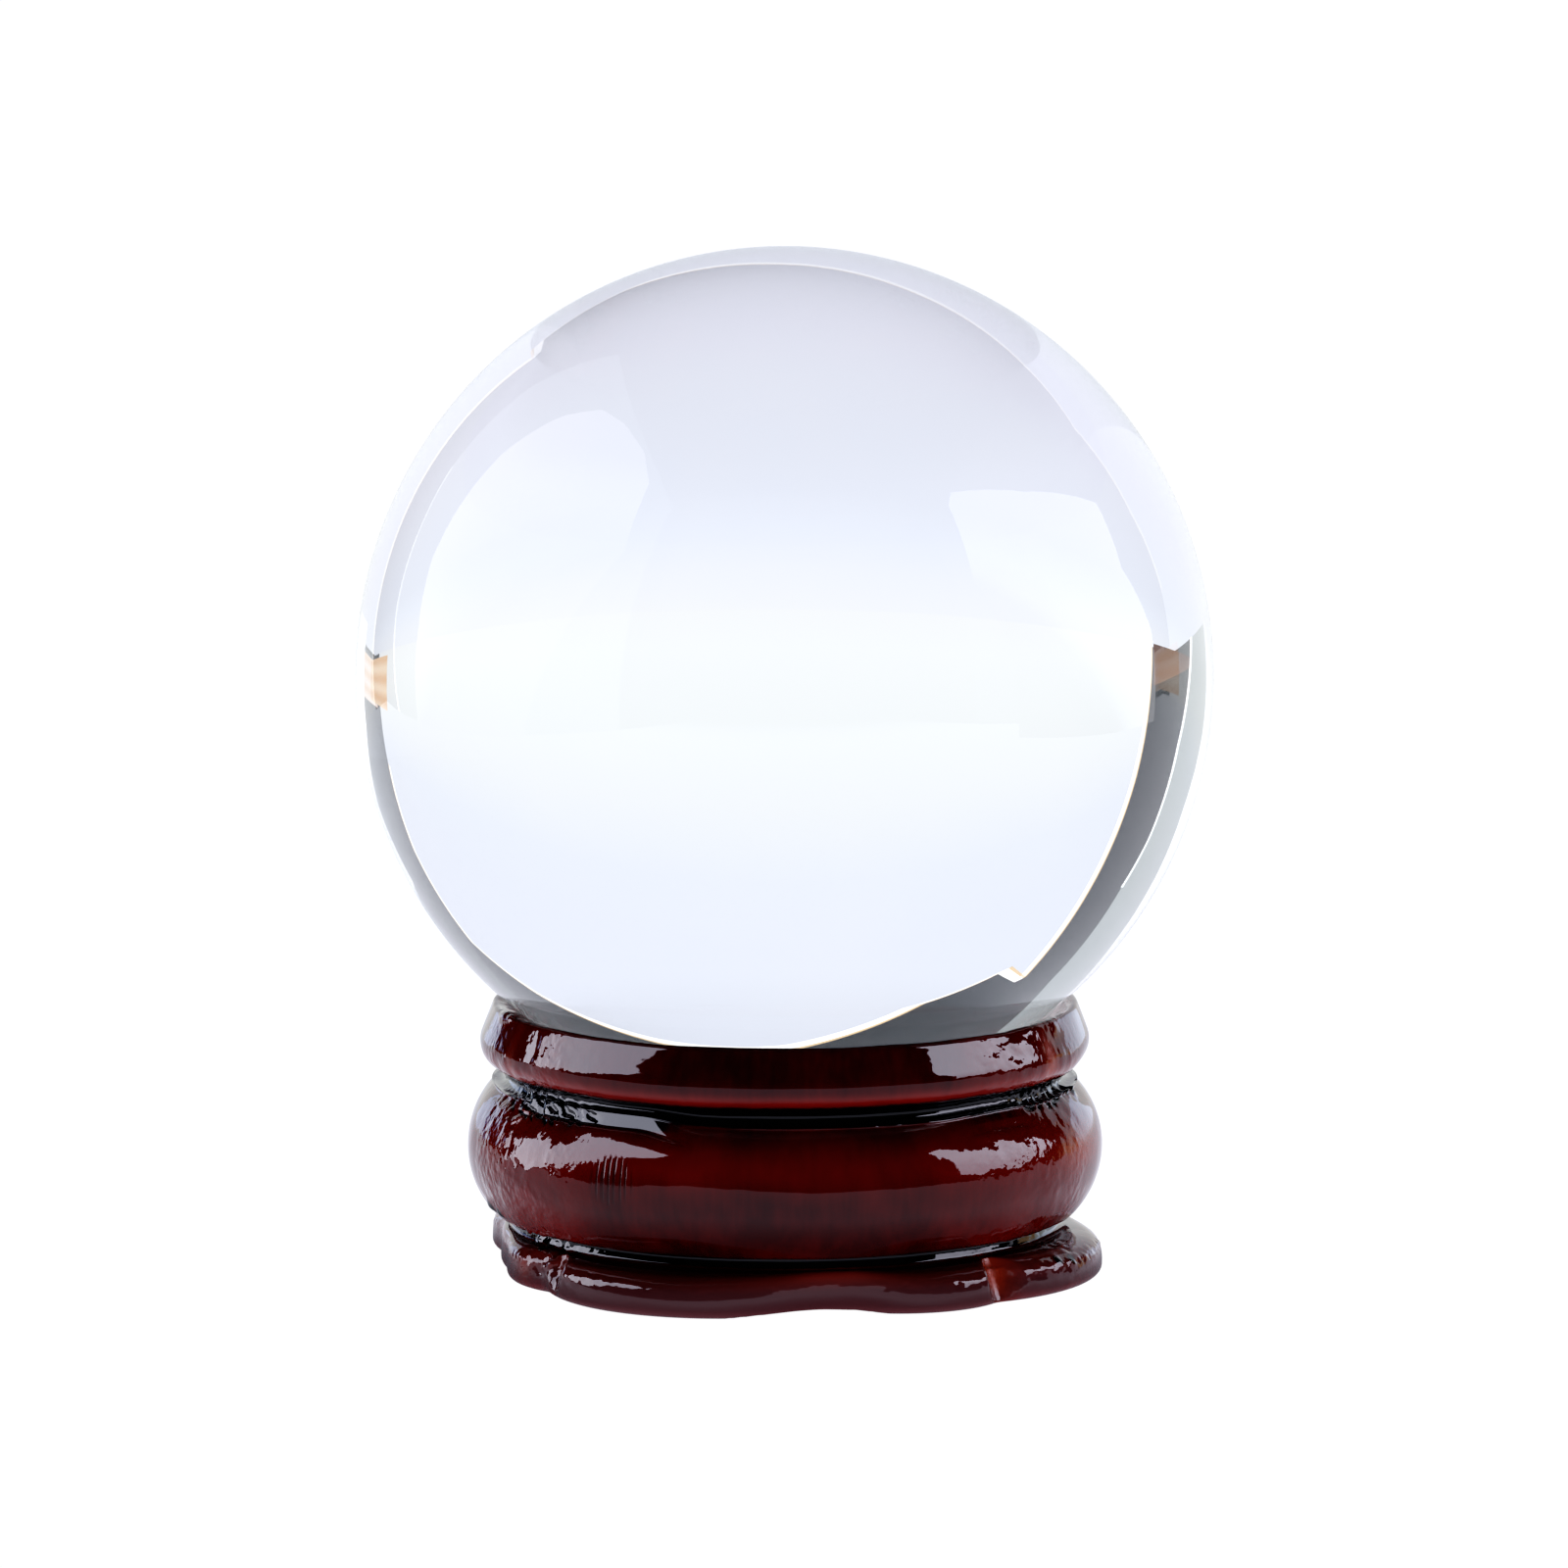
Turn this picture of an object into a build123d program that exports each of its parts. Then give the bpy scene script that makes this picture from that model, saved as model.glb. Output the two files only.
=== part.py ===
"""Crystal ball on a turned and carved display stand.

Two loose pieces.  A solid clear glass ball lies in the dished seat of a one-piece hardwood stand.
The stand is turned on a lathe: a lip round the seat, a rounded band, a wide belly and a foot
flange, with a narrow cove between each.  The flange is then carved into four feet of two lobes
each, with a sawn edge, the apron, between the feet.

Millimetres, +Z up, the ground at Z = 0 and the lathe axis on Z.
"""

import os
from math import sqrt

from build123d import *

# ---- Glass ball ------------------------------------------------------------------------------
ball_diameter = 40.0
seat_clearance = 0.06  # air between the glass and the dished seat

# ---- Lip, the ring round the seat ------------------------------------------------------------
stand_height = 12.6  # ground to the top of the lip
seat_mouth_radius = 12.7  # inner edge of the lip, where the dished seat starts
lip_width = 0.9
lip_fall = 0.28  # how far the lip falls in towards the seat
lip_rounding = 0.15

# ---- Band, under the lip ---------------------------------------------------------------------
band_flare = 0.55  # the band widens by this much from the lip down to its shoulder
band_shoulder_drop = 1.5  # from the top of the lip to that shoulder
band_height = 2.95  # from the top of the lip to the end of the band's round underside
band_tuck = 0.65  # how far the underside comes back in from the shoulder

# ---- Belly, the wide half-round --------------------------------------------------------------
belly_radius = 14.85  # widest line of the belly
belly_height = 5.75  # height of that line
belly_round = 4.2  # radius of its section

# ---- Coves, cut with a round-nosed tool above and below the belly ----------------------------
cove_round = 0.45
upper_cove_height = 9.2
upper_neck_radius = 12.95  # wood left inside the upper cove
lower_neck_radius = 12.75  # wood left inside the lower cove

# ---- Foot flange and its carved feet, each a trailing and a leading lobe ---------------------
flange_height = 2.05
flange_edge_round = 1.15  # along the top edge
flange_heel_round = 0.5  # along the bottom edge
apron_radius = 13.3  # sawn edge between the feet
foot_count = 4
first_foot_angle = 45.0  # degrees from +X
trailing_lobe_reach = 14.4  # from the lathe axis to the tip of the lobe
trailing_lobe_round = 4.4
trailing_lobe_turn = 11.0  # degrees from the nick back to the middle of the lobe
leading_lobe_reach = 15.3
leading_lobe_round = 8.2
leading_lobe_turn = 23.0  # degrees from the nick on to the middle of the lobe
nick_round = 0.5  # hollow of the nick between the two lobes
apron_blend = 2.0  # hollow where a lobe runs into the apron

# ---- Underside, cleared so that the stand rests on its four feet -----------------------------
relief_radius = 10.5  # turned recess in the middle
relief_depth = 0.5
arch_width = 8.0  # each apron arches clear of the ground over this width
arch_height = 0.3

# ---- Places that follow from the sizes above -------------------------------------------------
ball_radius = ball_diameter / 2
seat_radius = ball_radius + seat_clearance
lip_radius = seat_mouth_radius + lip_width
seat_mouth_height = stand_height - lip_fall
ball_centre_height = seat_mouth_height + sqrt(seat_radius**2 - seat_mouth_radius**2)
lower_cove_height = flange_height + cove_round
arch_round = (arch_width**2 / 4 + arch_height**2) / (2 * arch_height)
arch_angle = first_foot_angle + (leading_lobe_turn - trailing_lobe_turn + 360 / foot_count) / 2


def belly_edge(height):
    """Point on the belly's half-round section at a height."""
    rise = height - belly_height
    return (belly_radius - belly_round + sqrt(belly_round**2 - rise**2), height)


# ---- The ball --------------------------------------------------------------------------------
with BuildPart() as crystal_ball:
    with Locations((0, 0, ball_centre_height)):
        Sphere(ball_radius)

# ---- The stand -------------------------------------------------------------------------------
with BuildPart() as wood_stand:
    # Foot flange: the apron's disc with the lobes of the feet on it, rounded above and below
    with BuildSketch() as flange_plan:
        Circle(apron_radius)
        with PolarLocations(
            trailing_lobe_reach - trailing_lobe_round, foot_count, first_foot_angle - trailing_lobe_turn
        ):
            Circle(trailing_lobe_round)
        with PolarLocations(
            leading_lobe_reach - leading_lobe_round, foot_count, first_foot_angle + leading_lobe_turn
        ):
            Circle(leading_lobe_round)
        hollows = flange_plan.vertices().sort_by_distance((0, 0, 0))
        fillet(hollows[-foot_count:], nick_round)
        fillet(flange_plan.vertices().sort_by_distance((0, 0, 0))[: 2 * foot_count], apron_blend)
    extrude(amount=flange_height)
    fillet(wood_stand.faces().sort_by(Axis.Z)[-1].edges(), flange_edge_round)
    fillet(wood_stand.faces().sort_by(Axis.Z)[0].edges(), flange_heel_round)

    # Turned body: lip, band and belly, on a neck that ends inside the flange
    with BuildSketch(Plane.XZ) as turned_section:
        with BuildLine():
            lip = Line((seat_mouth_radius, seat_mouth_height), (lip_radius, stand_height))
            band = Line(lip @ 1, (lip_radius + band_flare, stand_height - band_shoulder_drop))
            band_under = TangentArc(
                band @ 1,
                (lip_radius + band_flare - band_tuck, stand_height - band_height),
                tangent=band % 1,
            )
            band_root = Line(band_under @ 1, belly_edge(upper_cove_height))
            belly = ThreePointArc(band_root @ 1, (belly_radius, belly_height), belly_edge(lower_cove_height))
            neck = Line(belly @ 1, (lower_neck_radius, lower_cove_height))
            Polyline(
                neck @ 1,
                (lower_neck_radius, flange_height / 2),
                (0, flange_height / 2),
                (0, seat_mouth_height),
                lip @ 0,
            )
        make_face()
        fillet(turned_section.vertices().sort_by(Axis.Y)[-1], lip_rounding)
    revolve(axis=Axis.Z)

    # Coves
    for cove_height, neck_radius in (
        (upper_cove_height, upper_neck_radius),
        (lower_cove_height, lower_neck_radius),
    ):
        with Locations((0, 0, cove_height)):
            Torus(neck_radius + cove_round, cove_round, mode=Mode.SUBTRACT)

    # Underside: the recess, and an arch under each apron
    Cylinder(relief_radius, 2 * relief_depth, mode=Mode.SUBTRACT)
    with Locations((0, 0, arch_height - arch_round)):
        with PolarLocations(apron_radius, foot_count, arch_angle):
            Cylinder(arch_round, 2 * (apron_radius - relief_radius), rotation=(0, 90, 0), mode=Mode.SUBTRACT)

    # Seat, dished to the ball
    with Locations((0, 0, ball_centre_height)):
        Sphere(seat_radius, mode=Mode.SUBTRACT)

# ---- Files, one for each piece ---------------------------------------------------------------
os.makedirs("parts", exist_ok=True)
crystal_ball.part.label = "crystal_ball"
export_step(crystal_ball.part, "parts/crystal_ball.step")
wood_stand.part.label = "wood_stand"
export_step(wood_stand.part, "parts/wood_stand.step")
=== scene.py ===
import math

import bpy
import numpy as np
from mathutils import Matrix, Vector


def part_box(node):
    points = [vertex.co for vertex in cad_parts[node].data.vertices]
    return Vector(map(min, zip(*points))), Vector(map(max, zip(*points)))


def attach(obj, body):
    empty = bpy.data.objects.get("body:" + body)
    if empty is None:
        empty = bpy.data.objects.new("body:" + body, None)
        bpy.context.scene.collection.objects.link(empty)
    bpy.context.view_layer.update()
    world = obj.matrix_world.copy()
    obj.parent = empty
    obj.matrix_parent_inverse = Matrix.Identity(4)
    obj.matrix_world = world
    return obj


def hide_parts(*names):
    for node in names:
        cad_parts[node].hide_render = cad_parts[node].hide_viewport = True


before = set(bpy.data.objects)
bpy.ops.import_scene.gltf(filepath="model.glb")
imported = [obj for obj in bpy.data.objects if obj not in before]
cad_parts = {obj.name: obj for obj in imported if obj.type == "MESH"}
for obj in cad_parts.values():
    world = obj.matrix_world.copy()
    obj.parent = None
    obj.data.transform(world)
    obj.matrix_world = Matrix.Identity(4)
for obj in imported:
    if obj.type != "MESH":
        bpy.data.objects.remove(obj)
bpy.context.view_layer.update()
print("frame loaded:", sorted(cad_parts))

ballLow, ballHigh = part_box("crystal_ball")
ballRadius = (ballHigh.z - ballLow.z) / 2
ballCentre = Vector((0, 0, (ballHigh.z + ballLow.z) / 2))
mm = ballRadius / 20  # the sizes below are millimetres on a 40 mm ball, and grow with the ball


class Wire:
    # a shader socket: Python operators on it add Math nodes
    def __init__(self, shader, socket):
        self.shader = shader
        self.socket = socket

    def math(self, operation, first, second=None):
        inputs = {0: first} if second is None else {0: first, 1: second}
        return self.shader.add("ShaderNodeMath", {"operation": operation}, inputs)

    def __add__(self, other):
        return self.math("ADD", self, other)

    def __sub__(self, other):
        return self.math("SUBTRACT", self, other)

    def __rsub__(self, other):
        return self.math("SUBTRACT", other, self)

    def __mul__(self, other):
        return self.math("MULTIPLY", self, other)

    def __rpow__(self, other):
        return self.math("POWER", other, self)

    __radd__ = __add__
    __rmul__ = __mul__

    def cosine(self):
        return self.math("COSINE", self)

    def clamp(self):
        return self.shader.add("ShaderNodeClamp", {}, {"Value": self})

    def between(self, low, high):
        # 0 at low, 1 at high and smooth from one to the other, whichever is the larger
        inputs = {"Value": self, "From Min": low, "From Max": high}
        return self.shader.add("ShaderNodeMapRange", {"interpolation_type": "SMOOTHSTEP"}, inputs)

    def bell(self, middle, half):
        # exp(-((value - middle) / half)^2)
        off = (self - middle) * (1 / half)
        return math.e ** (off * off * -1.0)


class Shader:
    # the emptied node tree of a material, a light or the world
    def __init__(self, owner):
        owner.use_nodes = True
        self.tree = owner.node_tree
        self.tree.nodes.clear()

    def node(self, kind, settings=None, inputs=None):
        made = self.tree.nodes.new(kind)
        for name, value in (settings or {}).items():
            if name == "stops":
                self.setStops(made.color_ramp, value)
            else:
                setattr(made, name, value)
        for name, value in (inputs or {}).items():
            if isinstance(value, Wire):
                self.tree.links.new(value.socket, made.inputs[name])
            elif isinstance(value, tuple) and len(made.inputs[name].default_value) == 4:
                made.inputs[name].default_value = (*value, 1)
            else:
                made.inputs[name].default_value = value
        return made

    def setStops(self, ramp, stops):
        while len(ramp.elements) < len(stops):
            ramp.elements.new(0.5)
        for element, (place, colour) in zip(ramp.elements, stops):
            element.position = place
            element.color = (*colour, 1)

    def add(self, kind, settings=None, inputs=None, output=0):
        return Wire(self, self.node(kind, settings, inputs).outputs[output])

    def place(self):
        return self.add("ShaderNodeTexCoord", output="Object")

    def axes(self, vector):
        parts = self.node("ShaderNodeSeparateXYZ", {}, {0: vector})
        return [Wire(self, parts.outputs[axis]) for axis in "XYZ"]

    def length(self, vector):
        return self.add("ShaderNodeVectorMath", {"operation": "LENGTH"}, {0: vector}, output="Value")

    def noise(self, vector, scale, detail):
        # features of about 1 / scale of a millimetre
        return self.add("ShaderNodeTexNoise", {}, {"Vector": vector, "Scale": scale / mm, "Detail": detail})

    def attribute(self, name):
        return self.add("ShaderNodeAttribute", {"attribute_name": name}, output="Fac")

    def mix(self, share, first, second):
        return self.add("ShaderNodeMix", {"data_type": "RGBA"}, {0: share, 6: first, 7: second}, output=2)

    def finish(self, surface, kind="ShaderNodeOutputMaterial"):
        self.tree.links.new(surface.socket, self.tree.nodes.new(kind).inputs["Surface"])


def newMaterial(name):
    material = bpy.data.materials.new(name)
    return material, Shader(material)


def addMesh(name, vertices, faces):
    mesh = bpy.data.meshes.new(name)
    mesh.from_pydata(vertices.tolist(), [], faces)
    mesh.polygons.foreach_set("use_smooth", np.ones(len(faces), bool))
    mesh.update()
    piece = bpy.data.objects.new(name, mesh)
    bpy.context.scene.collection.objects.link(piece)
    return piece


def closedSurface(name, points):
    # points[row, column]: each row is a ring round Z, and the first and last rows shrink to one pole each
    rows, columns = points.shape[:2]
    vertices = np.vstack([points[0, :1], points[1:-1].reshape(-1, 3), points[-1, :1]])
    ring = np.arange(columns)
    onward = (ring + 1) % columns
    start = 1 + np.arange(rows - 3)[:, None] * columns
    below = start + columns
    quads = np.stack([start + ring, below + ring, below + onward, start + onward], -1)
    lastRing = 1 + (rows - 3) * columns
    topFan = np.stack([0 * ring, 1 + ring, 1 + onward], -1)
    bottomFan = np.stack([0 * ring + len(vertices) - 1, lastRing + onward, lastRing + ring], -1)
    return addMesh(name, vertices, quads.reshape(-1, 4).tolist() + topFan.tolist() + bottomFan.tolist())


def giveAttribute(piece, name, values):
    # values[row, column] as on the surface's points: kept at each vertex for the material to read
    atPoints = np.concatenate([values[0, :1], values[1:-1].ravel(), values[-1, :1]])
    piece.data.attributes.new(name, "FLOAT", "POINT").data.foreach_set("value", atPoints.astype(np.float32))


def ripples(points, wavelength, seed, waves=28):
    # a sum of sine waves of about one wavelength in seeded random directions, with a spread of 1
    random = np.random.default_rng(seed)
    direction = random.normal(size=(3, waves))
    direction /= np.linalg.norm(direction, axis=0)
    pace = 2 * math.pi / wavelength * random.uniform(0.7, 1.4, waves)
    phase = random.uniform(0, 2 * math.pi, waves)
    return np.sin(points @ (direction * pace) + phase).sum(-1) * math.sqrt(2 / waves)


def sphereGrid(rows, columns):
    # the unit sphere: at polar angle p and turn t the point (sin p cos t, sin p sin t, cos p)
    polar = np.linspace(0, math.pi, rows)[:, None]
    turn = np.linspace(0, 2 * math.pi, columns, endpoint=False)[None, :]
    height = np.cos(polar) + 0 * turn
    return np.stack([np.sin(polar) * np.cos(turn), np.sin(polar) * np.sin(turn), height], -1)


def smoothStep(values, low, high):
    # s^2 (3 - 2 s), with s from 0 at low to 1 at high, whichever is the larger
    share = np.clip((values - low) / (high - low), 0, 1)
    return share * share * (3 - 2 * share)


def atLeast(least, share):
    # least where the share is 0, and 1 where it is 1; for arrays and for Wires
    return least + (1 - least) * share


def zone(values, limits):
    # rises smoothly from 0 to 1 between the first two limits, and falls again between the last two
    rise, full, fade, gone = limits
    return smoothStep(values, rise, full) * smoothStep(values, gone, fade)


def band(values, place, power=2):
    # exp(-|(value - middle) / half width|^power)
    middle, half = place
    return np.exp(-(abs((values - middle) / half) ** power))


ball = {
    "rows": 200,
    "columns": 400,
    "ior": 1.517,
    "clear": (1.0, 1.0, 1.0),
    "tint": (0.975, 0.985, 1.0),
    "smear": (0.09, 3.0),  # scale and detail of the patches that are faintly tinted
    "smearEdge": (0.4, 0.7),
}


def glassMaterial():
    material, shader = newMaterial("clearGlass")
    smear = shader.noise(shader.place(), *ball["smear"])
    glass = {
        "Base Color": shader.mix(smear.between(*ball["smearEdge"]), ball["tint"], ball["clear"]),
        "Roughness": 0.0,
        "IOR": ball["ior"],
        "Transmission Weight": 1.0,
    }
    shader.finish(shader.add("ShaderNodeBsdfPrincipled", {}, glass))
    return material


ballPoints = np.array(ballCentre) + ballRadius * sphereGrid(ball["rows"], ball["columns"])
glassBall = closedSurface("glassBall", ballPoints)
glassBall.data.materials.append(glassMaterial())
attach(glassBall, "ball")
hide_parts("crystal_ball")
print("ball made")


stand = {
    # millimetres on a 40 mm ball, and degrees
    "columns": 600,
    "crowding": 0.3,  # how much closer together the columns stand at the two sides, where the end grain is
    "height": 12.6,
    "seatClearance": 0.06,
    "mouthRadius": 12.7,
    "lipWidth": 0.9,
    "lipFall": 0.28,
    "lipRound": (0.24, 0.07),  # how far in and how far down the rounding of the lip begins
    "bandFlare": 0.55,
    "bandShoulderDrop": 1.5,
    "bandHeight": 2.95,
    "bandTuck": 0.65,
    "bellyRadius": 14.85,
    "bellyHeight": 5.75,
    "bellyRound": 4.2,
    "coveRound": 0.45,
    "upperCoveHeight": 9.2,
    "upperCoveTurn": (90, 310),
    "lowerCoveTurn": (32, 215),
    "upperNeckRadius": 12.95,
    "lowerNeckRadius": 12.75,
    "ledge": {  # where the gouge slipped: a narrow cove above a steep ledge on the belly
        "coveRound": 0.27,
        "coveTurn": (90, 290),
        "coveInset": 0.06,
        "foot": 8.42,
        "depth": 0.20,
        "rise": 0.05,
        "turns": ((229, 27, 1.0), (318, 16, 0.45)),  # middle and half width, and how deep it is cut
        "growth": 14,
    },
    "flangeRoot": 0.1,
    "flangeHeight": 2.05,
    "flangeSquareness": 3.2,
    "heelHeight": 0.5,
    "heelReach": 0.75,
    "apronRadius": 13.3,
    "reliefRadius": 10.5,
    "reliefWall": (0.99, 0.985),  # shares of the relief's radius at the foot and the top of its wall
    "reliefDepth": 0.5,
    "archWidth": 8.0,
    "archHeight": 0.3,
    "archTurn": 51.0,
    "feet": [  # each listed: the nick's angle, then two lobes by reach, round and turn from the nick
        (45, (14.4, 4.4, -11), (15.3, 8.2, 23)),
        (134, (13.5, 3.9, -14.5), (14.9, 6.5, 17.5)),
        (222, (13.9, 4.8, -13.5), (15.2, 8.2, 23.5)),
        (316, (14.9, 5.2, -10), (15.3, 9.0, 23)),
    ],
    "apronBlend": 0.45,
    "nickBlend": 0.3,
    "scoop": {  # the gouge cut in each nick: a leaning hollow
        "top": 1.85,
        "foot": 13.35,
        "lean": 0.45,
        "round": 0.50,
        "radius": 13.8,
        "blend": 0.22,
    },
    "rows": {
        "seat": 8, "mouth": 5, "lip": 6, "bandFace": 12, "bandUnder": 18, "upperCove": 12, "ledgeWall": 10,
        "ledgeStep": 3, "belly": 55, "lowerCove": 10, "flange": 26, "heel": 9, "underside": 4,
    },
    "handWork": {
        "seed": 11,
        "skirt": (0.3, 0.7),  # the heights over which the hand work begins
        "seatMargin": 0.5,
        "endGrain": (0.50, 0.86),  # sides of the stand, as the cosine of the angle from X
        "patches": (-0.5, 0.6),  # how soft the edges of the dabbed patches are
        "patchLength": 5.0,
        "waver": 0.016,  # slow unevenness of the hand turning
        "waverLength": 5.0,
        "dabs": 0.010,  # thick lacquer on the end grain
        "dabLength": 1.1,
        "dabLeast": 0.12,
        "calmSide": (0.92, 0.98, 0.85),  # a cosine from and to, and how much calmer it is there
        "flangeTop": (1.4, 1.7, 2.2, 2.5),  # a zone of heights: it begins, is full, fades and ends
        "flangeCalm": 0.8,
        "beads": 0.020,  # bead-like runs of lacquer along the edge of the feet
        "beadLength": 0.50,
        "beadBand": (1.45, 0.22),  # middle height and half width
        "beadRadius": 13.6,
        "beadLeast": 0.5,
        "toolMarks": 0.10,
        "toolSpacing": 0.90,
        "toolRadius": 13.6,
        "toolLevel": 8.6,
        "toolLean": 1.3,
        "toolWander": (1.3, 1.3),  # how far and over what length
        "toolEdge": (0.1, 0.8),
        "strokePlaces": [  # angle, height, half width, half height
            (217, 8.75, 3.4, 0.55),
            (335, 9.00, 2.2, 0.50),
            (37, 8.9, 3.0, 0.5),
            (146, 8.9, 2.6, 0.5),
        ],
        "strokeEdge": (0.15, 0.5),
        "strokeRadius": 13.0,
        "strokeShadeRadius": 13.2,
        "strokeShadeLeast": 0.3,
        "ribs": 0.005,  # fine upright ribs on the end grain
        "ribLength": 0.55,
        "ribStretch": 0.25,
        "ribSides": (0.70, 0.84, 0.88, 0.97),
        "ribHeights": (2.2, 2.8),
        "ribLeast": 0.4,
        # painted shade: near black in the coves, darkest where the radius is smallest
        "upperShade": (9.32, 0.50),
        "upperShadeRadius": (12.8, 13.9, 14.3),  # it begins, is full up to here, and ends
        "ledgeShade": (8.42, 8.52, 9.1, 9.2),
        "lowerShade": (2.06, 2.14, 2.8, 3.2),
        "lowerShadeRadius": (13.3, 13.55),
        "spotRadius": 14.0,  # where the widths of the spots below are measured
        "burrs": [  # angle, height, half width and half height, rise, darkness
            (199, 12.45, 0.50, 0.25, 0.10, 0.0),
            (203, 12.50, 0.35, 0.20, 0.08, 0.0),
            (197, 3.45, 0.40, 0.30, 0.16, 1.0),
            (201, 3.25, 0.30, 0.25, 0.12, 1.0),
            (350, 8.75, 0.30, 0.22, 0.16, 1.0),
            (346, 8.85, 0.22, 0.20, 0.10, 1.0),
            (209, 2.25, 0.22, 0.20, 0.07, 1.0),
            (214, 2.15, 0.26, 0.22, 0.09, 1.0),
            (219, 2.20, 0.20, 0.16, 0.07, 1.0),
            (224, 2.20, 0.16, 0.16, 0.06, 1.0),
            (330, 1.60, 0.20, 0.20, 0.08, 0.8),
            (334, 1.50, 0.22, 0.20, 0.08, 0.8),
        ],
        "burrShade": 1.6,
        "chips": [  # angle, height, half width and half height, roughness: torn wood under the lacquer
            (219, 1.70, 0.75, 1.10, 0.050),
            (213, 2.60, 1.00, 0.35, 0.045),
            (336, 1.70, 0.90, 0.50, 0.020),
        ],
        "chipLength": 0.55,
        "wornSpots": [  # angle, height, half width and half height, strength
            (332.5, 10.9, 0.60, 1.10, 0.75),
            (208.0, 10.7, 0.50, 1.20, 0.35),
            (212.0, 8.30, 0.90, 0.45, 0.45),
            (342.0, 6.50, 2.60, 0.90, 0.75),
            (205.0, 6.80, 1.20, 1.50, 0.18),
            (316.0, 1.30, 0.62, 0.82, 1.25),
            (211.0, 1.20, 0.60, 0.50, 0.30),
            (222.0, 1.30, 0.40, 0.60, 0.25),
        ],
    },
    "lacquer": {
        "deep": (0.042, 0.0028, 0.0028),
        "bright": (0.20, 0.0120, 0.0090),
        "wornAndLit": (0.42, 0.055, 0.018),
        # the colour of the painted shade in the coves
        "stain": (0.0035, 0.0042, 0.0055),
        # painted sheen: a mauve veil on the flange, full below 1.6 mm
        "paintedSheen": (0.150, 0.060, 0.072),
        "sheenHeights": (2.3, 1.6),
        "sheenShare": 0.6,
        "ior": 1.45,
        "roughness": 0.035,
        "poreRoughness": 0.15,
        "wornRoughness": 0.30,
        "patches": (0.35, 2.0),  # scale and detail, like the streaks, which run upright
        "streaks": (2.2, 2.0),
        "upright": 0.08,
        "sides": (-0.75, 0.25),  # the cosine of twice the angle from X
        "upperBelly": (7.2, 1.2, 0.85),  # painted light at a height, and painted shade where the strength is below 0: height, half width, strength
        "bandFoot": (10.05, 0.30, 0.8),
        "footTop": (1.9, 0.42, 1.0),
        "footWall": (0.75, 0.45, -0.6),
        "thinLeast": 0.1,
        "thinSides": 0.5,
        "thinPatches": 0.9,
        "thinStreaks": 0.35,
        "bellyLightEndGrain": 0.3,  # how much less painted light the upper belly gets there
        "wornLeast": 0.35,
        "wornStreaks": 0.4,
        # painted light: the worn colour laid on the foot tops as well
        "footTopLight": 0.3,
        "poreDark": 0.8,
        "raggedShade": (1.6, 3.0),
        "raggedShadeShare": 0.5,
        "raggedShadeFrom": (0.02, 0.4),
        "shadeEdge": (0.15, 0.75),
        "poreGroups": [  # angle, height, half width, half length
            (239.0, 6.15, 1.0, 1.0),
            (64.0, 6.10, 1.4, 1.1),
            (142.0, 6.40, 1.5, 1.0),
        ],
        "poreRadius": 14.6,
        "porePitch": 0.31,
        "poreWander": 6.0,
        "poreEdge": (-0.3, 0.6),
        "poreWindow": (0.12, 0.5),
        "poreDepth": 0.014,
        "strayPores": (0.62, 2.0),  # the streaks above the first are pores too, as strong as the second
        "roughPatches": (0.40, 0.58),
        "roughSide": (2.0, 8.0, 1.1),  # from and to this far towards -X it is rougher, by the third
        "flank": (0.95, 0.70),
        "flankLeast": 0.1,
        "dabSides": 0.40,
        "dabLeast": 0.05,
        "broadDabs": (1.3, 1.0, 0.016),  # scale, detail and depth
        "fineDabs": (2.6, 1.5, 0.026),
        "ribs": (2.4, 1.5, 0.013),
        "ribHeights": (2.2, 2.8),
        "beads": (3.0, 0.0, 0.050),
        "beadBand": (1.45, 0.22),
        "beadLeast": 0.4,
        "swell": (0.45, 1.0, 0.020),
        "flangeTop": (2.0, 0.35),
        "flangeCalm": 0.9,
    },
}


def arcPoints(centre, radius, start, end, count):
    # centre + radius (cos a, sin a), with a from start to end in degrees
    angle = np.radians(np.linspace(start, end, count))
    return np.stack([centre[0] + radius * np.cos(angle), centre[1] + radius * np.sin(angle)], -1)


def linePoints(start, end, count):
    # start (1 - s) + end s
    share = np.linspace(0, 1, count)[:, None]
    return np.array(start) * (1 - share) + np.array(end) * share


def bend(start, corner, end, count):
    # a rounded corner: start (1 - t)^2 + 2 corner t (1 - t) + end t^2
    t = np.linspace(0, 1, count)[1:, None]
    return start * (1 - t) ** 2 + 2 * corner * t * (1 - t) + end * t**2


def bellyAngle(height):
    # the angle on the belly's arc at a height: asin((height - middle) / round)
    return math.degrees(math.asin((height - stand["bellyHeight"]) / stand["bellyRound"]))


def lipAndBand():
    # out over the lip and down the flared band, whose underside is an arc that the band's face touches
    size, rows = stand, stand["rows"]
    mouth = (size["mouthRadius"], size["height"] - size["lipFall"])
    lipRadius = size["mouthRadius"] + size["lipWidth"]
    lipTop = np.array([lipRadius, size["height"]])
    shoulder = np.array([lipRadius + size["bandFlare"], size["height"] - size["bandShoulderDrop"]])
    bandFoot = np.array([shoulder[0] - size["bandTuck"], size["height"] - size["bandHeight"]])
    along = (shoulder - lipTop) / np.linalg.norm(shoulder - lipTop)
    inward = np.array([along[1], -along[0]])
    toFoot = bandFoot - shoulder
    bandRound = toFoot @ toFoot / (2 * inward @ toFoot)
    bandCentre = shoulder + inward * bandRound
    start, end = (math.degrees(math.atan2(*(p - bandCentre)[::-1])) for p in (shoulder, bandFoot))
    lipStart = lipTop - size["lipRound"]
    lipEnd = lipTop + along * size["lipRound"][0]
    return [
        linePoints(mouth, lipStart, rows["mouth"])[1:],
        bend(lipStart, lipTop, lipEnd, rows["lip"]),
        linePoints(lipEnd, shoulder, rows["bandFace"])[1:],
        arcPoints(bandCentre, bandRound, start, end, rows["bandUnder"])[1:],
    ]


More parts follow.
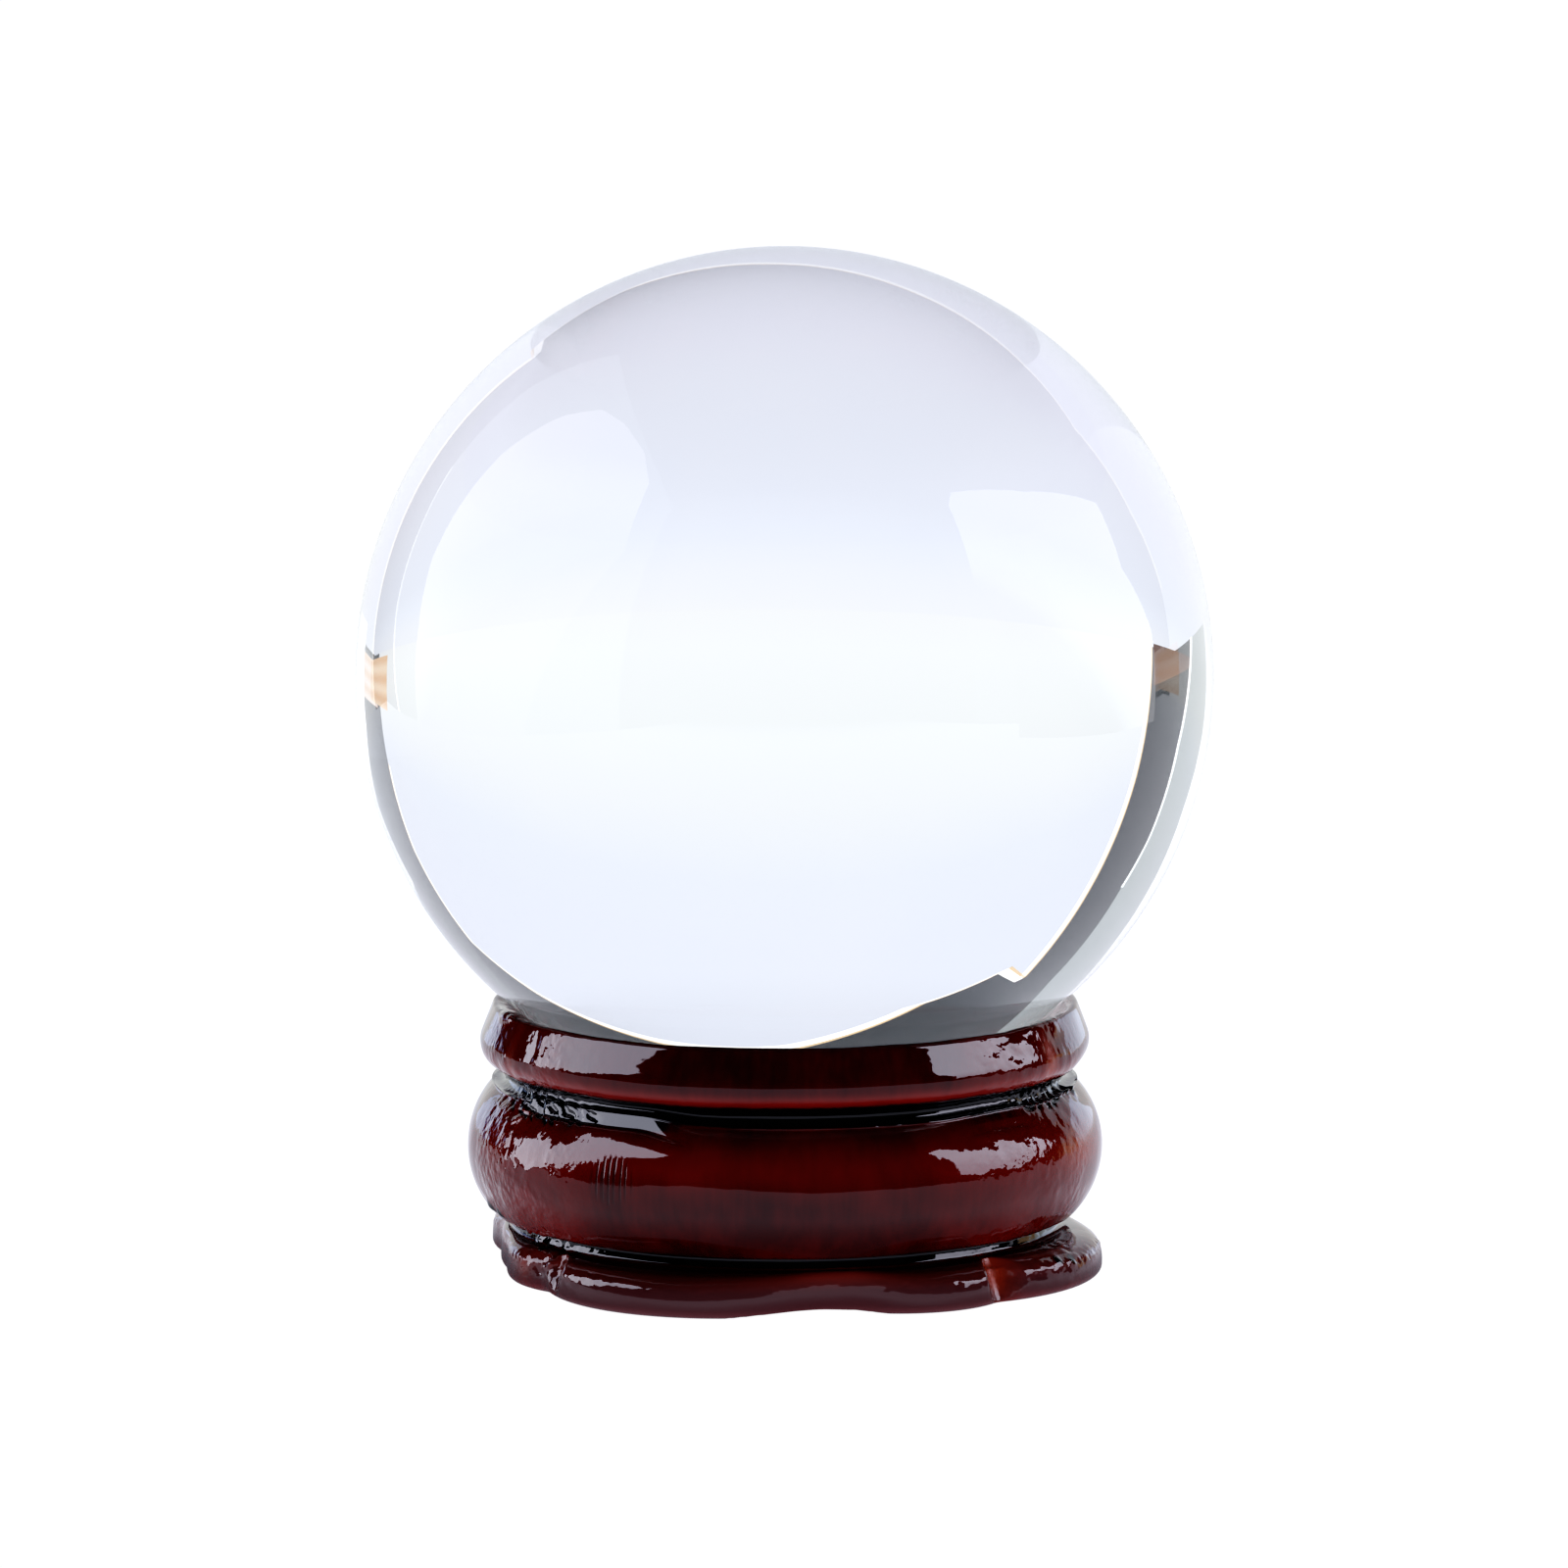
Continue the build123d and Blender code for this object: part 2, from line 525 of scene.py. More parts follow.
def coveAndBelly(lowerCoveHeight, ledge):
    # the arc of the upper cove and the arc of the belly; with a ledge, the cove is narrower, and a steep
    # wall and a small step run from it down into the belly, on as many rows
    size, rows, slip = stand, stand["rows"], stand["ledge"]
    centre = (size["bellyRadius"] - size["bellyRound"], size["bellyHeight"])
    upperCove = (size["upperNeckRadius"] + size["coveRound"], size["upperCoveHeight"])
    upperEnd, lowerStart = math.radians(size["upperCoveTurn"][1]), math.radians(size["lowerCoveTurn"][0])
    bellyStart = bellyAngle(size["upperCoveHeight"] + size["coveRound"] * math.sin(upperEnd))
    bellyEnd = bellyAngle(lowerCoveHeight + size["coveRound"] * math.sin(lowerStart))
    if not ledge:
        cove = arcPoints(upperCove, size["coveRound"], *size["upperCoveTurn"], rows["upperCove"])
        return [cove, arcPoints(centre, size["bellyRound"], bellyStart, bellyEnd, rows["belly"])[1:]]
    middle = (upperCove[0] - slip["coveInset"], upperCove[1] + size["coveRound"] - slip["coveRound"])
    cove = arcPoints(middle, slip["coveRound"], *slip["coveTurn"], rows["upperCove"])
    foot = bellyAngle(slip["foot"])
    rest = rows["belly"] - (rows["ledgeWall"] - 1) - (rows["ledgeStep"] - 1)
    belly = arcPoints(centre, size["bellyRound"], foot, bellyEnd, rest)
    cut = belly[0] - (slip["depth"], -slip["rise"])
    wall = linePoints(cove[-1], cut, rows["ledgeWall"])[1:]
    step = linePoints(cut, belly[0], rows["ledgeStep"])[1:]
    return [cove, wall, step, belly[1:]]


def turnedSection(ledge):
    # radius and height of the turned part, from the middle of the seat out over the lip and down to the
    # flange: arcs for the seat, the band's underside, the coves and the belly, joined by straight lines
    size, rows = stand, stand["rows"]
    seatRadius = ballRadius / mm + size["seatClearance"]
    seatRise = math.sqrt(seatRadius**2 - size["mouthRadius"] ** 2)
    seatCentre = (0, size["height"] - size["lipFall"] + seatRise)
    mouthAngle = math.degrees(math.asin(size["mouthRadius"] / seatRadius))
    seat = arcPoints(seatCentre, seatRadius, -90, mouthAngle - 90, rows["seat"])
    lowerCoveHeight = size["flangeHeight"] + size["coveRound"]
    lowerCentre = (size["lowerNeckRadius"] + size["coveRound"], lowerCoveHeight)
    lowerCove = arcPoints(lowerCentre, size["coveRound"], *size["lowerCoveTurn"], rows["lowerCove"])[1:]
    return np.vstack([seat, *lipAndBand(), *coveAndBelly(lowerCoveHeight, ledge), lowerCove])


def smoothMax(first, second, blend):
    # the larger of the two, with the corner between them filled by a parabola
    return np.maximum(first, second) + np.maximum(blend - abs(first - second), 0) ** 2 / (4 * blend)


def wrapped(angle):
    # the angle moved by whole turns to between minus pi and pi
    return (angle + math.pi) % (2 * math.pi) - math.pi


def lobeEdge(turn, nick, lobe):
    # distance from the axis to the far side of a lobe's circle: m cos a + sqrt(r^2 - (m sin a)^2)
    reach, radius, away = lobe
    off = turn - math.radians(nick + away)
    middle = reach - radius
    inside = radius**2 - (middle * np.sin(off)) ** 2
    far = middle * np.cos(off) + np.sqrt(np.maximum(inside, 0))
    return np.where((inside > 0) & (np.cos(off) > 0), far, 0)


def flangeEdge(turn):
    # the carved outline: the apron's circle, raised to each foot's two lobes
    edge = np.full_like(turn, stand["apronRadius"])
    for nick, trailing, leading in stand["feet"]:
        lobes = lobeEdge(turn, nick, trailing), lobeEdge(turn, nick, leading)
        edge = smoothMax(edge, smoothMax(*lobes, stand["nickBlend"]), stand["apronBlend"])
    return edge


def scooped(radius, height, turn):
    # the radius cut back to a leaning hollow in each nick: foot + lean * drop + across^2 / (2 round)
    scoop = stand["scoop"]
    for nick, _, _ in stand["feet"]:
        across = scoop["radius"] * wrapped(turn - math.radians(nick))
        drop = scoop["top"] - height
        hollow = scoop["foot"] + scoop["lean"] * drop + across**2 / (2 * scoop["round"])
        radius = -smoothMax(-radius, -hollow, scoop["blend"])
    return radius


def archRise(radius, turn):
    # height of the arch under each apron, clear of the feet: sqrt(round^2 - across^2) - round + arch height
    size = stand
    archRound = (size["archWidth"] ** 2 / 4 + size["archHeight"] ** 2) / (2 * size["archHeight"])
    middle = math.radians(size["feet"][0][0] + size["archTurn"])
    off = (turn - middle + math.pi / 4) % (math.pi / 2) - math.pi / 4
    across = radius * np.sin(off)
    return np.maximum(np.sqrt(archRound**2 - across**2) - archRound + size["archHeight"], 0)


def standColumns():
    # angles round the axis, crowded towards 0 and 180 degrees: u - crowding/2 sin 2u
    even = np.linspace(0, 2 * math.pi, stand["columns"], endpoint=False)[None, :]
    return even - stand["crowding"] / 2 * np.sin(2 * even)


def ledgeShare(turn):
    # how deep the ledge is cut: nothing outside its turns, and growing smoothly from their ends inwards
    growth = stand["ledge"]["growth"]
    share = 0 * turn
    for middle, half, depth in stand["ledge"]["turns"]:
        off = abs(np.degrees(wrapped(turn - math.radians(middle))))
        share = np.maximum(share, depth * smoothStep(off, half, half - growth))
    return share


def flangeRings(turn):
    # the top falls away slowly, turns down in a narrow bend and ends in an upright wall, a quarter of the
    # curve (across / reach)^n + (up / rise)^n = 1; the heel below it is a quarter ellipse, or the arch
    size, rows = stand, stand["rows"]
    edge = flangeEdge(turn)
    root = size["lowerNeckRadius"] + size["flangeRoot"]
    angle = np.linspace(0, math.pi / 2, rows["flange"])[:, None] + 0 * turn
    power = 2 / size["flangeSquareness"]
    radius = root + (edge - root) * np.maximum(np.sin(angle), 0) ** power
    fall = size["flangeHeight"] - size["heelHeight"]
    height = size["heelHeight"] + fall * np.maximum(np.cos(angle), 0) ** power
    heelAngle = np.radians(np.linspace(0, 90, rows["heel"]))[1:, None]
    heelRadius = edge - size["heelReach"] * (1 - np.cos(heelAngle))
    heelRise = size["heelHeight"] * (1 - np.sin(heelAngle)) + 0 * turn
    heelRise = np.maximum(heelRise, archRise(heelRadius, turn))
    radius = np.vstack([radius, heelRadius])
    height = np.vstack([height, heelRise])
    return scooped(radius, height, turn), height


def standRings(turn):
    # rings round the axis: the turned section as it is, then the flange, whose radius follows the carved
    # outline, and the underside with its turned recess
    size = stand
    share = ledgeShare(turn)
    whole, cut = turnedSection(False), turnedSection(True)
    upper = [whole[:, axis, None] * (1 - share) + cut[:, axis, None] * share for axis in (0, 1)]
    flangeRadius, flangeHeight = flangeRings(turn)
    under = np.linspace(0, 1, size["rows"]["underside"])[1:, None]
    underRadius = flangeRadius[-1] * (1 - under) + size["reliefRadius"] * under
    wallFoot, wallTop = size["reliefWall"]
    recessRadius = np.array([wallFoot, wallTop, 0])[:, None] * size["reliefRadius"] + 0 * turn
    recessHeight = np.array([0, 1, 1])[:, None] * size["reliefDepth"] + 0 * turn
    radius = np.vstack([upper[0], flangeRadius, underRadius, recessRadius])
    return radius, np.vstack([upper[1], flangeHeight, archRise(underRadius, turn), recessHeight])


def outward(points):
    # the surface's direction at each point: the cross product of its steps along the rings and across them
    across = np.gradient(points, axis=0)
    around = np.roll(points, -1, 1) - np.roll(points, 1, 1)
    direction = np.cross(across, around)
    return direction / np.maximum(np.linalg.norm(direction, axis=-1, keepdims=True), 1e-9)


def spot(turn, height, place):
    # a bell round an angle and a height: exp(-(across / half width)^2 - (up / half height)^2)
    angle, level, halfWidth, halfHeight = place
    across = stand["handWork"]["spotRadius"] * wrapped(turn - math.radians(angle))
    return np.exp(-((across / halfWidth) ** 2) - ((height - level) / halfHeight) ** 2)


def thickLacquer(points, turn, radius, height, endGrain, patches):
    # waver + dabs + beads: each is its depth times where it lies times ripples of its own length
    work = stand["handWork"]
    relief = work["waver"] * ripples(points, work["waverLength"], work["seed"])
    calmFrom, calmTo, calmer = work["calmSide"]
    calm = 1 - calmer * smoothStep(abs(np.cos(turn)), calmFrom, calmTo)
    dabZone = (work["dabLeast"] + endGrain * patches) * calm
    dabZone = dabZone * (1 - work["flangeCalm"] * zone(height, work["flangeTop"]))
    relief += work["dabs"] * dabZone * ripples(points, work["dabLength"], work["seed"] + 1)
    beadZone = band(height, work["beadBand"]) * (radius > work["beadRadius"])
    beadZone = beadZone * atLeast(work["beadLeast"], endGrain)
    beads = np.maximum(ripples(points, work["beadLength"], work["seed"] + 2), 0)
    return relief + work["beads"] * beadZone * beads


def gougeStrokes(points, turn, height):
    # where the gouge left slanting marks beside the upper cove, and the marks themselves: the sine of a
    # slant that wanders
    work = stand["handWork"]
    lean = work["toolLean"] * np.sign(np.cos(turn)) * np.sign(np.sin(turn))
    along = turn * work["toolRadius"] + lean * (height - work["toolLevel"])
    wander, wanderLength = work["toolWander"]
    slant = 2 * math.pi * along / work["toolSpacing"]
    slant = slant + wander * ripples(points, wanderLength, work["seed"] + 4)
    marked = 0 * height
    for place in work["strokePlaces"]:
        marked = np.maximum(marked, smoothStep(spot(turn, height, place), *work["strokeEdge"]))
    return marked, smoothStep(np.sin(slant), *work["toolEdge"])


def coveShade(turn, radius, height, marked, strokes):
    # painted near black shade in the upper cove, the gouge's marks, the ledge and the lower cove
    work = stand["handWork"]
    inner, dark, clean = work["upperShadeRadius"]
    stain = band(height, work["upperShade"], 4) * smoothStep(radius, clean, dark) * (radius > inner)
    inStrokes = marked * atLeast(work["strokeShadeLeast"], strokes) * (radius > work["strokeShadeRadius"])
    stain = np.maximum(stain, inStrokes)
    stain = np.maximum(stain, zone(height, work["ledgeShade"]) * ledgeShare(turn))
    dark, clean = work["lowerShadeRadius"]
    return stain + zone(height, work["lowerShade"]) * smoothStep(radius, clean, dark)


def standSurface():
    # the rings, moved outwards by the relief of the hand work, and what the material reads at each point
    work = stand["handWork"]
    turn = standColumns()
    radius, height = standRings(turn)
    points = np.stack([radius * np.cos(turn), radius * np.sin(turn), height], -1)
    skin = smoothStep(height, *work["skirt"]) * (radius > stand["mouthRadius"] - work["seatMargin"])
    side = abs(np.cos(turn))
    endGrain = smoothStep(side + 0 * radius, *work["endGrain"])
    patches = smoothStep(ripples(points, work["patchLength"], work["seed"] + 3), *work["patches"])
    relief = thickLacquer(points, turn, radius, height, endGrain, patches)
    marked, strokes = gougeStrokes(points, turn, height)
    relief -= work["toolMarks"] * marked * strokes * (radius > work["strokeRadius"])
    ribs = ripples(points * (1, 1, work["ribStretch"]), work["ribLength"], work["seed"] + 5)
    ribZone = zone(side, work["ribSides"]) * smoothStep(height, *work["ribHeights"])
    relief += work["ribs"] * ribZone * atLeast(work["ribLeast"], patches) * ribs
    # painted shade: near black in the coves, the ledge and the gouge's marks, and dark spots at the burrs
    stain = coveShade(turn, radius, height, marked, strokes)
    for *place, rise, darkness in work["burrs"]:
        burr = spot(turn, height, place)
        relief += rise * burr
        stain = np.maximum(stain, darkness * np.minimum(work["burrShade"] * burr, 1))
    torn = ripples(points, work["chipLength"], work["seed"] + 6)
    for *place, roughness in work["chips"]:
        relief += roughness * spot(turn, height, place) * torn
    wear = 0 * stain
    for *place, strength in work["wornSpots"]:
        wear = np.maximum(wear, strength * spot(turn, height, place))
    points = points + outward(points) * (relief * skin)[..., None]
    return points, {"stain": np.clip(stain, 0, 1), "wear": wear, "endGrain": endGrain}


def grainWires(shader):
    # what the lacquer's colour and relief are both made of
    lacquer = stand["lacquer"]
    place = shader.place()
    x, y, z = shader.axes(place)
    upright = shader.add("ShaderNodeCombineXYZ", {}, {0: x, 1: y, 2: z * lacquer["upright"]})
    turn = y.math("ARCTAN2", y, x)
    facing = (turn * 2).cosine()
    return {
        "place": place,
        "upright": upright,
        "left": x * (-1 / mm),
        "level": z * (1 / mm),
        "turn": turn,
        "facing": facing,
        "side": facing.between(*lacquer["sides"]),
        "patches": shader.noise(place, *lacquer["patches"]),
        "streaks": shader.noise(upright, *lacquer["streaks"]),
        "endGrain": shader.attribute("endGrain"),
        "stain": shader.attribute("stain"),
        "wear": shader.attribute("wear"),
    }


def poreWire(grain):
    # rows of open pores: upright strokes that repeat round the belly inside a bell, and stray ones
    lacquer = stand["lacquer"]
    least, strength = lacquer["strayPores"]
    pores = (grain["streaks"] - least).clamp() * grain["endGrain"] * strength
    for angle, level, halfWidth, halfLength in lacquer["poreGroups"]:
        across = (grain["turn"] - wrapped(math.radians(angle))) * lacquer["poreRadius"]
        wander = grain["streaks"] * lacquer["poreWander"]
        comb = (across * (2 * math.pi / lacquer["porePitch"]) + wander).cosine()
        window = across.bell(0, halfWidth) * grain["level"].bell(level, halfLength)
        pores = pores + comb.between(*lacquer["poreEdge"]) * window.between(*lacquer["poreWindow"])
    return pores


def lacquerColour(shader, grain, pores):
    # deep red, brighter where the lacquer lies thin, with painted light on the upper belly, the band's foot
    # and the foot tops and painted shade on the foot walls, a painted mauve sheen on the feet, worn to
    # orange in spots and painted in the worn colour on the foot tops, and near black painted shade in the
    # coves
    lacquer = stand["lacquer"]
    level, patches, streaks, stain = (grain[name] for name in ("level", "patches", "streaks", "stain"))

    def ring(name):
        middle, half, strength = lacquer[name]
        return level.bell(middle, half) * strength

    # painted light on the upper belly, the band's foot and the foot tops and painted shade on the foot
    # walls, besides lacquer that lies thin
    thinAndLit = ring("upperBelly") * (1 - grain["endGrain"] * lacquer["bellyLightEndGrain"])
    thinAndLit = thinAndLit + ring("bandFoot") + ring("footTop") + ring("footWall")
    thinAndLit = thinAndLit + (patches - 0.5) * lacquer["thinPatches"] + (streaks - 0.5) * lacquer["thinStreaks"]
    thinAndLit = thinAndLit + grain["side"] * lacquer["thinSides"] + lacquer["thinLeast"]
    colour = shader.mix(thinAndLit.clamp(), lacquer["deep"], lacquer["bright"])
    # painted sheen on the flange
    paintedSheen = level.between(*lacquer["sheenHeights"]) * lacquer["sheenShare"]
    colour = shader.mix(paintedSheen, colour, lacquer["paintedSheen"])
    wornAndLit = grain["wear"] * (lacquer["wornLeast"] + patches + streaks * lacquer["wornStreaks"])
    # painted light: the worn colour on the foot tops
    wornAndLit = wornAndLit + ring("footTop") * lacquer["footTopLight"]
    colour = shader.mix(wornAndLit.clamp(), colour, lacquer["wornAndLit"])
    colour = shader.mix((pores * lacquer["poreDark"]).clamp(), colour, lacquer["deep"])
    # painted shade in the coves, with ragged edges
    raggedShade = (shader.noise(grain["upright"], *lacquer["raggedShade"]) - 0.5) * lacquer["raggedShadeShare"]
    stain = stain + raggedShade * stain.between(*lacquer["raggedShadeFrom"])
    return shader.mix(stain.between(*lacquer["shadeEdge"]), colour, lacquer["stain"])


def lacquerRelief(shader, grain, pores):
    # dabs of lacquer in patches on the end grain, fine ribs, beads on the feet, a slow swell, and the pores
    lacquer = stand["lacquer"]
    level, side, place = (grain[name] for name in ("level", "side", "place"))

    def bumps(vector, scale, detail, depth):
        return shader.noise(vector, scale, detail) * depth

    sideFrom, sideTo, rougher = lacquer["roughSide"]
    rough = grain["patches"].between(*lacquer["roughPatches"]) * grain["endGrain"]
    rough = rough * (grain["left"].between(sideFrom, sideTo) * rougher + 1.0)
    flank = grain["facing"].between(*lacquer["flank"])
    dabs = bumps(place, *lacquer["broadDabs"]) + bumps(place, *lacquer["fineDabs"])
    dabs = dabs * (rough + side * lacquer["dabSides"] + lacquer["dabLeast"])
    dabs = dabs * atLeast(lacquer["flankLeast"], flank)
    dabs = dabs * (1 - level.bell(*lacquer["flangeTop"]) * lacquer["flangeCalm"])
    ribs = bumps(grain["upright"], *lacquer["ribs"]) * rough * flank
    ribs = ribs * level.between(*lacquer["ribHeights"])
    beads = bumps(place, *lacquer["beads"]) * level.bell(*lacquer["beadBand"])
    beads = beads * atLeast(lacquer["beadLeast"], side)
    swell = bumps(place, *lacquer["swell"])
    height = (dabs + ribs + beads + swell - pores.clamp() * lacquer["poreDepth"]) * mm
    return shader.add("ShaderNodeBump", {}, {"Height": height, "Strength": 1.0, "Distance": 1.0})


def woodMaterial():
    lacquer = stand["lacquer"]
    material, shader = newMaterial("lacqueredWood")
    grain = grainWires(shader)
    pores = poreWire(grain)
    dull = (pores * lacquer["poreRoughness"] + grain["wear"] * lacquer["wornRoughness"]).clamp()
    wood = {
        "Base Color": lacquerColour(shader, grain, pores),
        "Roughness": dull + lacquer["roughness"],
        "IOR": lacquer["ior"],
        "Normal": lacquerRelief(shader, grain, pores),
    }
    shader.finish(shader.add("ShaderNodeBsdfPrincipled", {}, wood))
    return material


standPoints, standFields = standSurface()
turnedStand = closedSurface("turnedStand", standPoints * mm)
for name, values in standFields.items():
    giveAttribute(turnedStand, name, values)
turnedStand.data.materials.append(woodMaterial())
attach(turnedStand, "stand")
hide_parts("wood_stand")
print("stand made:", len(turnedStand.data.polygons), "faces")


studio = {
    # millimetres on a 40 mm ball; the floor's half and the dome's radius are metres
    "toneCurve": [(0.015, 0.003), (0.04, 0.018), (0.10, 0.075), (0.25, 0.25)],
    "airColour": (0.045, 0.05, 0.055),
    "floor": {
        "half": 3.0,
        "albedo": (0.24, 0.24, 0.24),
        "fade": (50, 220),
        "colours": ((1.0, 1.0, 1.01), (1.03, 1.035, 1.05)),
    },
    "dome": {
        "radius": 2.9,
        "rows": 24,
        "columns": 48,
        "colour": (1.05, 1.06, 1.08),
    },
    "tentFloor": {
        "left": -156,
        "right": 215,
        "front": -420,
        "back": 122.5,
        "lift": 0.01,
        "brightSpot": (15, 122),
        "spotWidth": 6.0,
        "fade": (0, 80),
        "colours": [
            (0.0, (0.99, 1.01, 1.04)), (0.25, (0.95, 0.98, 1.05)), (0.42, (0.90, 0.945, 1.055)),
            (0.56, (0.858, 0.897, 1.012)), (0.72, (0.856, 0.889, 1.005)),
            (0.86, (0.858, 0.883, 0.998)), (1.0, (0.858, 0.868, 0.993)),
        ],
    },
    "shadeLift": 0.02,
    "standShade": {
        "fade": (13, 21),
        "reach": 21,
        "back": 21,
        "round": True,
        "hiddenFrom": "transmission",
        "colour": (0.10, 0.10, 0.12),
    },
    "frontShade": {
        "fade": (58, 190),
        "reach": 190,
        "back": 0,
        "innerOnly": True,
        "hiddenFrom": "glossy",
        "colour": (0.01, 0.01, 0.01),
    },
    "farShade": {
        "fade": (420, 150),
        "reach": 420,
        "back": -100,
        "hiddenFrom": "transmission",
        "colour": (0.05, 0.05, 0.06),
    },
    "backSheet": {
        "place": 122,
        "outline": [
            (-120, 0), (-106, 40), (-80, 106), (-66, 90), (-38, 91), (-8, 111), (34, 124),
            (90, 132), (140, 133), (168, 92), (174, 50), (190, 0),
        ],
        "fade": (0, 100),
        "colours": [
            (0.0, (1.0, 1.02, 1.04)), (0.06, (1.01, 1.04, 1.05)), (0.17, (0.98, 1.015, 1.025)),
            (0.29, (0.945, 0.975, 1.0)), (0.43, (0.875, 0.92, 1.005)),
            (0.6, (0.862, 0.905, 1.006)), (1.0, (0.863, 0.906, 1.025)),
        ],
    },
    "leftBlock": {
        "place": 118,
        "outline": [(-215, 0), (-117, 0), (-114, 13), (-215, 5)],
        "fade": (0, 9),
        "colours": ((0.13, 0.06, 0.04), (0.20, 0.11, 0.08)),
    },
    "rightBlock": {
        "place": 118,
        "outline": [(152, 3), (420, 3), (420, 25), (150, 25)],
        "stripes": 8.5,
        "colours": ((0.92, 0.58, 0.33), (1.08, 0.84, 0.60)),
    },
    "rightBlockSide": {
        "place": 229,
        "outline": [(30, 2), (140, 2), (140, 27), (30, 27)],
        "stripes": 8.5,
        "colours": ((1.0, 0.74, 0.54), (1.12, 0.96, 0.88)),
    },
    "leftWall": {
        "place": -156,
        "outline": [
            (-180, 0), (87, 0), (110, 38), (123, 77), (137, 103), (160, 180), (160, 300),
            (-180, 300),
        ],
        "fade": (0, 240),
        "colours": ((0.50, 0.55, 0.55), (0.40, 0.45, 0.46)),
    },
    "leftPost": {
        "place": -155,
        "outline": [
            (84, 0), (88, 0), (111, 38), (124, 77), (138, 103), (134, 103), (121, 77), (107, 38),
        ],
        "fade": (0, 100),
        "colours": ((1.7, 1.7, 1.7), (1.5, 1.6, 1.6)),
    },
    "leftSoftbox": {
        "place": -150,
        "outline": [
            (-60, 0), (50, 0), (55, 38), (66, 67), (70, 134), (62, 190), (40, 240), (0, 266),
            (-60, 280), (-105, 262), (-131, 167), (-100, 90),
        ],
        "slope": 1.0,
        "fade": (0, 200),
        "colours": [
            (0.0, (0.75, 0.75, 0.85)), (0.21, (0.8, 0.8, 0.9)), (0.35, (1.3, 1.3, 1.4)),
            (0.55, (1.95, 1.95, 2.05)), (0.75, (2.0, 2.0, 2.1)), (1.0, (1.7, 1.7, 1.8)),
        ],
    },
    "rightWall": {
        "place": 230,
        "outline": [(-180, 0), (180, 0), (180, 300), (-180, 300)],
        "fade": (0, 240),
        "colours": ((0.16, 0.17, 0.19), (0.10, 0.11, 0.12)),
    },
    "rightSoftbox": {
        "place": 150,
        "outline": [
            (-75, 0), (64, 0), (66, 38), (50, 70), (64, 104), (1, 145), (-66, 203), (-80, 195),
            (-97, 119), (-80, 60),
        ],
        "slope": 1.0,
        "fade": (0, 200),
        "colours": [
            (0.0, (0.1, 0.1, 0.12)), (0.1, (0.35, 0.35, 0.4)), (0.17, (1.2, 1.2, 1.3)),
            (0.28, (1.75, 1.75, 1.9)), (0.6, (1.95, 1.95, 2.1)), (1.0, (1.85, 1.85, 2.0)),
        ],
    },
    "leftPanel": {
        "place": -149,
        "outline": [
            (-15, 16), (-48, 42), (-68, 64), (-97, 89), (-118, 105), (-132, 135), (-103, 139),
            (-68, 130), (-35, 125), (-12, 112), (1, 87), (38, 58), (60, 44), (56, 5), (0, 5),
        ],
        "fade": (10, 75),
        "colours": ((5.6, 5.6, 6.4), (5.2, 5.3, 6.3)),
    },
    "leftWing": {
        "place": 121.5,
        "outline": [(-148, 2), (-60, 2), (-84, 45), (-148, 42)],
        "fade": (2, 45),
        "colours": ((0.45, 0.6, 1.0), (0.5, 0.7, 1.2)),
    },
    "rightWing": {
        "place": 121.5,
        "outline": [(48, 2), (130, 2), (130, 40), (80, 42)],
        "fade": (2, 45),
        "colours": ((0.55, 0.7, 1.0), (0.5, 0.7, 1.1)),
    },
    "rightPanel": {
        "place": 149,
        "outline": [
            (-71, 20), (-66, 48), (-81, 83), (-92, 115), (-74, 116), (-45, 97), (-23, 85), (1, 76),
            (25, 66), (54, 52), (66, 45), (48, 30), (35, 20),
        ],
        "fade": (10, 75),
        "colours": ((4.2, 4.1, 4.8), (6.3, 6.3, 7.5)),
    },
    "frontSheet": {
        "place": -420,
        "outline": [(-500, 0), (500, 0), (500, 420), (-500, 420)],
        "fade": (0, 300),
        "colours": ((0.98, 1.0, 1.02), (0.86, 0.90, 1.0)),
    },
    "trimGap": 0.2,  # how far the trims stand in front of the back sheet
    "warmTrim": {"corners": (0, 11), "inset": 0.0, "width": 1.6, "colour": (1.0, 0.72, 0.40)},
    "whiteTrim": {"corners": (0, 11), "inset": 1.6, "width": 4.5, "colour": (1.5, 1.5, 1.45)},
}


def glowMaterial(name, colour, clear=False):
    # colour is a fixed colour, or a function that gives the Wire of one from the shader;
    # a clear glow hides nothing behind it
    material, shader = newMaterial(name)
    glow = shader.add("ShaderNodeEmission", {}, {"Color": colour(shader) if callable(colour) else colour})
    if clear:
        glow = shader.add("ShaderNodeAddShader", {}, {0: shader.add("ShaderNodeBsdfTransparent"), 1: glow})
    shader.finish(glow)
    return material


def hideFrom(piece, *rays):
    for kind in rays:
        setattr(piece, "visible_" + kind, False)


def lightOnly(lamp, piece):
    # a sheet that only one piece mirrors
    receivers = bpy.data.collections.new(lamp.name + "Receivers")
    receivers.objects.link(piece)
    lamp.light_linking.receiver_collection = receivers
    hideFrom(lamp, "diffuse")


def addRectangle(name, left, right, front, back, lift=0):
    # flat on the table, or a hair above it
    corners = [(left, front, lift), (right, front, lift), (right, back, lift), (left, back, lift)]
    return addMesh(name, np.array(corners), [[0, 1, 2, 3]])


def faded(shader, distance, piece):
    # the piece's colours over its fade: two that melt into each other, or the stops of a ramp
    low, high = (limit * mm for limit in piece["fade"])
    if len(piece["colours"]) == 2:
        return shader.mix(distance.between(low, high), *piece["colours"])
    share = (distance - low) * (1 / (high - low))
    return shader.add("ShaderNodeValToRGB", {"stops": piece["colours"]}, {0: share})


